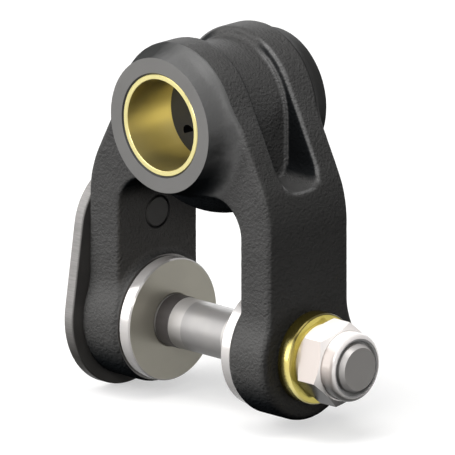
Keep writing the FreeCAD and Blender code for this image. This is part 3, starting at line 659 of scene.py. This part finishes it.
# Painted light: the left arm's inner face is painted lighter, against the fork's shade.
inside_fork_light = overlap(tree, level(tree, where["X"], *INSIDE_PLACE),
                      level(tree, facing["X"], *INSIDE_SLOPE))
# Painted light: the arms' lower front faces are painted lighter.
low_front_light = overlap(tree, level(tree, where["Z"], *LOW_PLACE),
                    level(tree, facing["Y"], *LOW_SLOPE))
# Painted shade: the right arm's outer face, towards the nut, is painted darker.
nut_side_shade = overlap(tree, level(tree, where["X"], *NUT_SIDE_PLACE),
                   level(tree, facing["X"], *NUT_SIDE_SLOPE))
# Painted shade: the dowel hole's lead-in is painted near black, as the gap's shadow.
hole_rim_shade = overlap(tree, level(tree, dowel_hole["Radius"], *HOLE_RIM),
                   level(tree, where["X"], *HOLE_PLACE))
# Painted shade on the front cone: in cloudy patches where it faces down, and where it faces aside.
cone_shade_patches = overlap(tree, level(tree, surface["Clouds"], *CONE_SHADE_CLOUDS),
                 level(tree, facing["Z"], *CONE_SHADE_BELOW))
cone_shade = either(tree, cone_shade_patches, level(tree, facing["X"], *CONE_SHADE_ASIDE))

# The blends paint light and shade into the tone, one mask after another.
tone = blend(tree, surface["Clouds"], *AS_CAST)
for mask, colour in (
    (low_front_light, LOW_FRONT_PAINTED_LIGHT),
    (inside_fork_light, INSIDE_PAINTED_LIGHT),
    (either(tree, shaded_wall, shaded_front_lip), HOLLOW_PAINTED_SHADE),
    (edge_highlight, EDGE_PAINTED_HIGHLIGHT),
    (rear, REAR_CONE_PAINTED_SHADE),
    (nut_side_shade, NUT_SIDE_PAINTED_SHADE),
    (hole_rim_shade, HOLE_RIM_PAINTED_SHADE),
    (front, blend(tree, cone_shade, *FRONT_CONE_LIGHT_AND_SHADE)),
    (downward_shade, UNDERSIDE_PAINTED_SHADE),
):
    tone = blend(tree, mask, tone, colour)
put(tree, shader.inputs["Base Color"], tone)
gloss = level(tree, surface["Clouds"], 0, 1, *PAINT_GLOSS)
put(tree, shader.inputs["Roughness"], math_of(tree, "MULTIPLY_ADD", cone, CONE_GLOSS, gloss))
coat = overlap(tree, level(tree, facing["Z"], *COAT_SLOPE), level(tree, front, 0, 1, *COAT_WEIGHT))
# The coat is left off where the front cone has its painted shade.
unshaded = math_of(tree, "MULTIPLY_ADD", overlap(tree, front, cone_shade), -1.0, 1.0)
put(tree, shader.inputs["Coat Weight"], overlap(tree, coat, unshaded))
shader.inputs["Coat Roughness"].default_value = COAT_GLOSS
shader.inputs["Specular IOR Level"].default_value = 0.0
grain = overlap(tree, surface["Height"], level(tree, cone, 0, 1, *GRAIN_TO_CONE))
relief = node(tree, "Bump", Strength=GRAIN_STRENGTH, Distance=GRAIN_DEPTH, Height=grain)
put(tree, shader.inputs["Normal"], relief.outputs[0])

# The bare iron: faced on the hub's ends, bored with a dark lead-in where the bushes enter, and
# milled on the pads and in the eyes. Each face of the mesh gets its finish by its place.
FINE = 0.05 * MM
FLAT = 0.99
PAD_FINISH_RADIUS = 32 * MM
FACED_IRON = (0.135, 0.133, 0.130)
PAD_IRON = (0.16, 0.155, 0.15)
BORED_IRON = (0.06, 0.058, 0.056)
BORED_TONES = ((0.056, 0.054, 0.052), (0.064, 0.062, 0.060))
LEAD_IN_PLACE = (38.5 * MM, 39.0 * MM)
LEAD_IN_TONE = (0.012, 0.012, 0.012)

faced = machined("faced_iron", FACED_IRON, roughness=0.32, about=about_hub, relief=0.06)[0]
bored, tree, shader, lathe, haze = machined(
    "bored_iron", BORED_IRON, roughness=0.45, about=about_hub, metallic=0.4, relief=0.1)
lead_in = level(tree, lathe["Along"], *LEAD_IN_PLACE)
seat_tone = blend(tree, haze, *BORED_TONES)
put(tree, shader.inputs["Base Color"], blend(tree, lead_in, seat_tone, LEAD_IN_TONE))
padded = machined("pad_iron", PAD_IRON, roughness=0.4, about=about_pin, relief=0.1)[0]

casting.data.materials.clear()
for finish in (iron, faced, bored, padded):
    casting.data.materials.append(finish)
for face in casting.data.polygons:
    middle = face.center
    from_hub = math.hypot(middle.x, middle.z)
    from_pin = math.hypot(middle.y, middle.z + PIN_DROP)
    on_hub_end = abs(face.normal.y) > FLAT and abs(middle.y) > HUB_HALF - FINE
    in_hub_bore = from_hub < BUSH_SEAT_RADIUS + BORE_LEAD_IN + FINE
    at_pad = abs(face.normal.x) > FLAT and abs(abs(middle.x) - PAD_REACH) < FINE
    on_pad = at_pad and from_pin < PAD_FINISH_RADIUS
    in_eye = from_pin < EYE_RADIUS + FINE
    if on_hub_end:
        face.material_index = 1
    elif in_hub_bore:
        face.material_index = 2
    elif on_pad or in_eye:
        face.material_index = 3
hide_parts("clevis_body")
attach(casting, "clevis")


def finish_node(name, finish):
    """Gives a CAD node its material."""
    slots = nodes[name].data.materials
    slots.clear()
    slots.append(finish)


# Bushes: two bronze sleeves pressed into the hub from its ends, turned all over. The bore is fine,
# and painted shade darkens its top and bottom; the end ring is faced brighter.
BUSH_OUTER_END = 39.6 * MM
BUSH_INNER_END = 9.6 * MM
BUSH_BORE = 22.5 * MM
BUSH_EDGE = 0.3 * MM
BUSH_STEPS = 256
BUSH_CORNER = 30
BRONZE = (0.58, 0.50, 0.23)
BORE_TONES = ((0.72, 0.62, 0.27), (0.76, 0.655, 0.29))
BORE_PAINTED_SHADE = (0.16, 0.13, 0.045)
BORE_SHADE_ABOVE = (0.0, -0.7, 0, 0.65)
BORE_SHADE_BELOW = (0.75, 1.0, 0, 0.5)
END_RING_PLACE = (39.35 * MM, 39.5 * MM)
END_RING_TONE = (0.56, 0.505, 0.23)

bronze, tree, shader, lathe, haze = machined(
    "bearing_bronze", BRONZE, roughness=0.32, about=about_hub, pitch=2200.0, metallic=0.85,
    relief=0.06)
facing = facing_of(tree)
# Painted shade: the bore is painted darker at its top and at its bottom.
bore_shade = either(tree, level(tree, facing["Z"], *BORE_SHADE_ABOVE), level(tree, facing["Z"], *BORE_SHADE_BELOW))
bore_tone = blend(tree, bore_shade, blend(tree, haze, *BORE_TONES), BORE_PAINTED_SHADE)
end_ring = level(tree, lathe["Along"], *END_RING_PLACE)
put(tree, shader.inputs["Base Color"], blend(tree, end_ring, bore_tone, END_RING_TONE))
for name, end in (("front_bush", -1), ("rear_bush", 1)):
    sleeve = scene_object(name + "_sleeve", turned([
        (BUSH_INNER_END, BUSH_BORE + BUSH_EDGE),
        (BUSH_INNER_END, BUSH_SEAT_RADIUS - BUSH_EDGE),
        (BUSH_INNER_END + BUSH_EDGE, BUSH_SEAT_RADIUS),
        (BUSH_OUTER_END - BUSH_EDGE, BUSH_SEAT_RADIUS),
        (BUSH_OUTER_END, BUSH_SEAT_RADIUS - BUSH_EDGE),
        (BUSH_OUTER_END, BUSH_BORE + BUSH_EDGE),
        (BUSH_OUTER_END - BUSH_EDGE, BUSH_BORE),
        (BUSH_INNER_END + BUSH_EDGE, BUSH_BORE),
        (BUSH_INNER_END, BUSH_BORE + BUSH_EDGE),
    ], (0, end, 0), (0, 0, 0), steps=BUSH_STEPS))
    crisp(sleeve, BUSH_CORNER)
    sleeve.data.materials.append(bronze)
    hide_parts(name)
    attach(sleeve, "clevis")

# Grease nipple: a zinc-plated fitting screwed into the port under the left rib hollow, which feeds
# the gap between the two bushes.
ZINC = (0.62, 0.62, 0.60)
ZINC_TONES = ((0.60, 0.60, 0.58), (0.50, 0.50, 0.47))


def about_port(tree, spot):
    """Coordinates with their origin on the port's axis."""
    return node(tree, "Mapping", Vector=spot, Location=(0, 0, PORT_DROP)).outputs[0]


zinc, tree, shader, lathe, haze = machined(
    "zinc_plated", ZINC, roughness=0.24, about=about_port, pitch=5000.0)
put(tree, shader.inputs["Base Color"], blend(tree, haze, *ZINC_TONES))
finish_node("grease_nipple", zinc)

# Clevis pin: a 25 mm steel pin, turned and ground along its shank, with a chamfered thread at its
# right end. It is painted brighter towards both ends beside the seal rings, a painted highlight,
# and painted shade darkens it where it faces down; its end face is left as it was parted off,
# duller than the rest.
PIN_END = 96.1 * MM
GROUND_STEEL = (0.40, 0.39, 0.38)
SHANK_TONES = ((0.32, 0.31, 0.302), (0.29, 0.283, 0.28))
HIGHLIGHT_PLACE = (13.4 * MM, 13.8 * MM)
PAINTED_HIGHLIGHT_TONE = (0.43, 0.415, 0.405)
PARTED_TONE = (0.24, 0.23, 0.22)

ground, tree, shader, lathe, haze = machined(
    "ground_steel", GROUND_STEEL, roughness=0.36, about=about_pin, pitch=4200.0, metallic=0.3,
    relief=0.08)
end_face = level(tree, lathe["Along"], PIN_END - FINE, PIN_END - FINE / 2)
# Painted highlight: the shank is painted brighter beyond its middle, towards both ends.
highlight_band = level(tree, lathe["Along"], *HIGHLIGHT_PLACE)
shank_tone = blend(tree, highlight_band, blend(tree, haze, *SHANK_TONES), PAINTED_HIGHLIGHT_TONE)
# Painted shade darkens the shank where it faces down.
put(tree, shader.inputs["Base Color"],
    blend(tree, end_face, shaded_below(tree, shank_tone, share=0.6), PARTED_TONE))
finish_node("clevis_pin", ground)

# Seal rings: black rubber bands in grooves of the pin, just inside the discs, which keep the
# grease in and the discs at their pads.
RUBBER = (0.05, 0.044, 0.044)
RUBBER_TONES = ((0.046, 0.04, 0.04), (0.060, 0.054, 0.053))
RUBBER_GLOSS = (0.45, 0.58)
BLOOM_SCALE = 110.0
PORE_SCALE = 2600.0

rubber, tree, shader, spot = paint("seal_rubber", RUBBER, metallic=0.0, roughness=0.5)
bloom = place(tree, oil_haze, Place=spot, Scale=BLOOM_SCALE)["Mask"]
put(tree, shader.inputs["Base Color"], blend(tree, bloom, *RUBBER_TONES))
put(tree, shader.inputs["Roughness"], level(tree, bloom, 0, 1, *RUBBER_GLOSS))
pores = node(tree, "TexNoise", Vector=spot, Scale=PORE_SCALE, Detail=1.0)
relief = node(tree, "Bump", Strength=0.2, Distance=0.1 * MM, Height=pores.outputs[0])
put(tree, shader.inputs["Normal"], relief.outputs[0])
for name in ("left_seal_ring", "right_seal_ring"):
    finish_node(name, rubber)

# Lock plate: a pear-shaped flag of 6 mm plate, flame-cut, with dark scale on both faces and a
# brighter cut edge that keeps the torch's drag lines.
PLATE_INSIDE = ARM_OUTSIDE
PLATE_OUTSIDE = 67.8 * MM
EDGE_BLEND = 0.4 * MM
PLATE_STEEL = (0.2, 0.2, 0.2)
SCALE_TONES = ((0.075, 0.072, 0.070), (0.10, 0.097, 0.092))
CUT_TONES = ((0.235, 0.23, 0.225), (0.285, 0.275, 0.27))
PLATE_GLOSS = (0.42, 0.58)
SCALE_PATCHES = 45.0
DRAG_STRETCH = (0.08, 1, 1)
DRAG_SCALE = 1400.0
DRAG_RANGE = (0.35, 0.65)
MILL_SCALE = 900.0
MILL_SHARE = 0.4

scale_steel, tree, shader, spot = paint("plate_steel", PLATE_STEEL, metallic=0.1, roughness=0.5)
shader.inputs["Specular IOR Level"].default_value = 0.05
along = place(tree, turning, Place=about_pin(tree, spot))["Along"]
cut_edge = band(tree, along, (PLATE_INSIDE, PLATE_INSIDE + EDGE_BLEND),
                (PLATE_OUTSIDE, PLATE_OUTSIDE - EDGE_BLEND))
haze = place(tree, oil_haze, Place=spot, Scale=SCALE_PATCHES)["Mask"]
drag = node(tree, "Mapping", Vector=spot, Scale=DRAG_STRETCH).outputs[0]
drag_lines = node(tree, "TexNoise", Vector=drag, Scale=DRAG_SCALE, Detail=2.0).outputs[0]
edge_tone = blend(tree, level(tree, drag_lines, *DRAG_RANGE), *CUT_TONES)
plate_tone = blend(tree, cut_edge, blend(tree, haze, *SCALE_TONES), edge_tone)
# Painted shade darkens the plate where it faces down.
put(tree, shader.inputs["Base Color"], shaded_below(tree, plate_tone, share=1.0))
put(tree, shader.inputs["Roughness"], level(tree, haze, 0, 1, *PLATE_GLOSS))
mill = node(tree, "TexNoise", Vector=spot, Scale=MILL_SCALE, Detail=3.0).outputs[0]
torch = overlap(tree, drag_lines, cut_edge)
relief = node(tree, "Bump", Strength=0.25, Distance=0.3 * MM,
              Height=math_of(tree, "MULTIPLY_ADD", mill, MILL_SHARE, torch))
put(tree, shader.inputs["Normal"], relief.outputs[0])
finish_node("lock_plate", scale_steel)

# Ring weld: one run of weld metal round the pin's tail, laid in overlapping ripples against the
# plate's outer face, with heat colours at its toes.
WELD_TOE = 15.5 * MM
WELD_SHANK = 12.5 * MM
WELD_TOP = 70.2 * MM
WELD_STEPS = 368
WELD_CORNER = 60
RIPPLES = 46
RIPPLE_DEPTH = 0.22 * MM
RIPPLE_LAG = 0.55
BEAD_PROFILE = ((0, 0), (0.45, 0.05), (1.0, 0.4), (1.5, 0.9), (1.95, 1.6), (2.3, 2.4))
WELD_METAL = (0.30, 0.29, 0.28)
BEAD_TONES = ((0.34, 0.33, 0.32), (0.26, 0.25, 0.25))
BEAD_GLOSS = (0.30, 0.45)
BEAD_PATCHES = 180.0
TOE_PLACE = (14.2 * MM, 15.5 * MM)
TOE_TONE = (0.17, 0.14, 0.13)

bead_work = turned([
    (PLATE_OUTSIDE, WELD_SHANK),
    *((PLATE_OUTSIDE + up * MM, WELD_TOE - inwards * MM) for up, inwards in BEAD_PROFILE),
    (WELD_TOP, WELD_SHANK),
    (PLATE_OUTSIDE, WELD_SHANK),
], (-1, 0, 0), (0, 0, -PIN_DROP), steps=WELD_STEPS)
bead_work.normal_update()
for spot in bead_work.verts:
    rise = spot.co.z + PIN_DROP
    raised = abs(spot.co.x) - PLATE_OUTSIDE
    if raised > FINE and math.hypot(spot.co.y, rise) > WELD_SHANK + FINE:
        lag = raised / MM * RIPPLE_LAG
        beat = abs(math.sin(math.atan2(rise, spot.co.y) * RIPPLES / 2 + lag))
        spot.co -= spot.normal * (RIPPLE_DEPTH * (1 - beat) ** 2)
bead = scene_object("weld_bead", bead_work)
crisp(bead, WELD_CORNER)
weld_metal, tree, shader, spot = paint("weld_metal", WELD_METAL, metallic=0.6, roughness=0.36)
from_axis = place(tree, turning, Place=about_pin(tree, spot))["Radius"]
toe = level(tree, from_axis, *TOE_PLACE)
haze = place(tree, oil_haze, Place=spot, Scale=BEAD_PATCHES)["Mask"]
put(tree, shader.inputs["Base Color"], blend(tree, toe, blend(tree, haze, *BEAD_TONES), TOE_TONE))
put(tree, shader.inputs["Roughness"], level(tree, haze, 0, 1, *BEAD_GLOSS))
bead.data.materials.append(weld_metal)
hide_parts("pin_weld")
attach(bead, "clevis")

# Dowel: a blackened pin driven through the plate and the left arm, flush at both ends, which stops
# the plate turning.
BLACK_STEEL = (0.04, 0.038, 0.037)
BLACK_TONES = ((0.052, 0.050, 0.048), (0.062, 0.060, 0.057))

black, tree, shader, lathe, haze = machined(
    "dowel_steel", BLACK_STEEL, roughness=0.42, about=about_dowel, metallic=0.1)
shader.inputs["Specular IOR Level"].default_value = 0.1
put(tree, shader.inputs["Base Color"], blend(tree, haze, *BLACK_TONES))
finish_node("lock_dowel", black)

# Thrust discs: loose steel rings on the pin, each against its arm's pad. Their faces are ground
# flat and dull; their rims are polished bright.
DISC_RIM = 29.32 * MM
DISC_STEEL = (0.42, 0.40, 0.34)
DISC_FACE_TONES = ((0.42, 0.40, 0.335), (0.40, 0.38, 0.32))
DISC_RIM_TONES = ((0.59, 0.565, 0.55), (0.55, 0.535, 0.53))
FACE_TO_RIM_GLOSS = (0.34, 0.16)

disc_steel, tree, shader, lathe, haze = machined(
    "disc_steel", DISC_STEEL, roughness=0.3, about=about_pin, pitch=3600.0, metallic=0.38,
    relief=0.05)
rim = level(tree, lathe["Radius"], DISC_RIM, DISC_RIM + FINE)
# Painted shade darkens the rims where they face down.
rim_tone = shaded_below(tree, blend(tree, haze, *DISC_RIM_TONES), share=0.5)
put(tree, shader.inputs["Roughness"], level(tree, rim, 0, 1, *FACE_TO_RIM_GLOSS))
put(tree, shader.inputs["Base Color"],
    blend(tree, rim, blend(tree, haze, *DISC_FACE_TONES), rim_tone))
for name in ("left_thrust_disc", "right_thrust_disc"):
    finish_node(name, disc_steel)

# Nut washer: an 8 mm turned washer with well-rounded outer edges and yellow passivated zinc, whose
# yellow varies a little. Its rim is painted lighter, a painted highlight, with painted olive shade
# near the arm, on top and below. It lies between the right arm and the nut.
WASHER_INSIDE = ARM_OUTSIDE
WASHER_OUTSIDE = 69.8 * MM
WASHER_RADIUS = 22.4 * MM
WASHER_BORE = 12.5 * MM
WASHER_EDGE = 0.8 * MM
WASHER_PROFILE = ((1.2, 0), (0.7, 0.12), (0.15, 0.5), (0, 0.95))
WASHER_STEPS = 192
WASHER_CORNER = 35
YELLOW = (0.42, 0.34, 0.09)
YELLOW_FACE_TONES = ((0.56, 0.48, 0.118), (0.53, 0.455, 0.112))
YELLOW_RIM_HIGHLIGHT = ((0.66, 0.55, 0.17), (0.74, 0.66, 0.25))
OLIVE_SHADE = (0.10, 0.08, 0.018)
RIM_SHADE_ABOVE = (0.25, 0.6)
RIM_SHADE_BELOW = (-0.5, -0.9, 0, 0.5)
RIM_PLACE = (WASHER_RADIUS - 0.94 * MM, WASHER_RADIUS - 0.9 * MM)
ARM_SIDE = (WASHER_OUTSIDE - 2.8 * MM, WASHER_OUTSIDE - 5.2 * MM)

washer_piece = scene_object("turned_washer", turned([
    (WASHER_INSIDE, WASHER_BORE),
    (WASHER_INSIDE, WASHER_RADIUS - WASHER_EDGE),
    (WASHER_INSIDE + WASHER_EDGE, WASHER_RADIUS),
    *((WASHER_OUTSIDE - back * MM, WASHER_RADIUS - inwards * MM)
      for back, inwards in WASHER_PROFILE),
    (WASHER_OUTSIDE, WASHER_BORE),
    (WASHER_INSIDE, WASHER_BORE),
], (1, 0, 0), (0, 0, -PIN_DROP), steps=WASHER_STEPS))
crisp(washer_piece, WASHER_CORNER)
yellow, tree, shader, lathe, haze = machined(
    "yellow_zinc", YELLOW, roughness=0.2, about=about_pin, pitch=2600.0, metallic=0.75,
    relief=0.05)
# Painted highlight: the rim's tones are lighter than the face's.
rim = level(tree, lathe["Radius"], *RIM_PLACE)
spot = about_pin(tree, node(tree, "TexCoord").outputs["Object"])
above_pin = node(tree, "SeparateXYZ", Vector=spot).outputs["Z"]
rise = math_of(tree, "DIVIDE", above_pin, lathe["Radius"])
# Painted shade: the rim is painted olive dark near the arm, on its top and at its bottom.
round_rim = either(tree, level(tree, rise, *RIM_SHADE_ABOVE), level(tree, rise, *RIM_SHADE_BELOW))
by_arm = level(tree, lathe["Along"], *ARM_SIDE)
olive_shade = either(tree, by_arm, round_rim)
rim_tone = blend(tree, olive_shade, blend(tree, haze, *YELLOW_RIM_HIGHLIGHT), OLIVE_SHADE)
put(tree, shader.inputs["Base Color"],
    blend(tree, rim, blend(tree, haze, *YELLOW_FACE_TONES), rim_tone))
washer_piece.data.materials.append(yellow)
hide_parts("nut_washer")
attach(washer_piece, "clevis")

# Lock nut: a 36 mm hexagon nut with a raised bearing face and a collar rolled over its insert, in
# bright zinc with a faint pink tint from clear passivation. Its front flats are painted darker as
# painted shade, and painted shade darkens it where it faces down.
BRIGHT_ZINC = (0.8, 0.75, 0.7)
CREAM_AND_PINK = ((0.97, 0.93, 0.90), (0.94, 0.90, 0.885))
FRONT_FLAT_PAINTED_SHADE = (0.49, 0.435, 0.405)
FRONT_FLAT_SLOPE = (-0.62, -0.8)
FLAT_SHINE = (0.42, 0.1)
WHITE_ABOVE = (0.2, 0.5, 1, 0)

bright, tree, shader, lathe, haze = machined(
    "bright_zinc", BRIGHT_ZINC, roughness=0.18, about=about_pin, pitch=2400.0, metallic=0.42,
    relief=0.05)
facing = facing_of(tree)
# Painted shade: the flats that face the front are painted darker.
flat_front = level(tree, facing["Y"], *FRONT_FLAT_SLOPE)
zinc_tone = blend(tree, flat_front, blend(tree, haze, *CREAM_AND_PINK), FRONT_FLAT_PAINTED_SHADE)
shine = overlap(tree, level(tree, flat_front, 0, 1, *FLAT_SHINE),
                level(tree, facing["Z"], *WHITE_ABOVE))
put(tree, shader.inputs["Metallic"], shine)
# Painted shade darkens the nut where it faces down.
put(tree, shader.inputs["Base Color"], shaded_below(tree, zinc_tone, share=1.0))
finish_node("lock_nut", bright)

# Insert: a grey nylon ring under the nut's rolled lip, which grips the thread and keeps the nut
# from working loose. It is pressed in before the collar is rolled over it.
NYLON = (0.32, 0.32, 0.33)
NYLON_TONES = ((0.46, 0.46, 0.46), (0.52, 0.52, 0.52))
NYLON_GLOSS = (0.42, 0.55)
NYLON_PATCHES = 150.0

nylon, tree, shader, spot = paint("insert_nylon", NYLON, metallic=0.0, roughness=0.5)
bloom = place(tree, oil_haze, Place=spot, Scale=NYLON_PATCHES)["Mask"]
put(tree, shader.inputs["Base Color"], blend(tree, bloom, *NYLON_TONES))
put(tree, shader.inputs["Roughness"], level(tree, bloom, 0, 1, *NYLON_GLOSS))
finish_node("nut_insert", nylon)
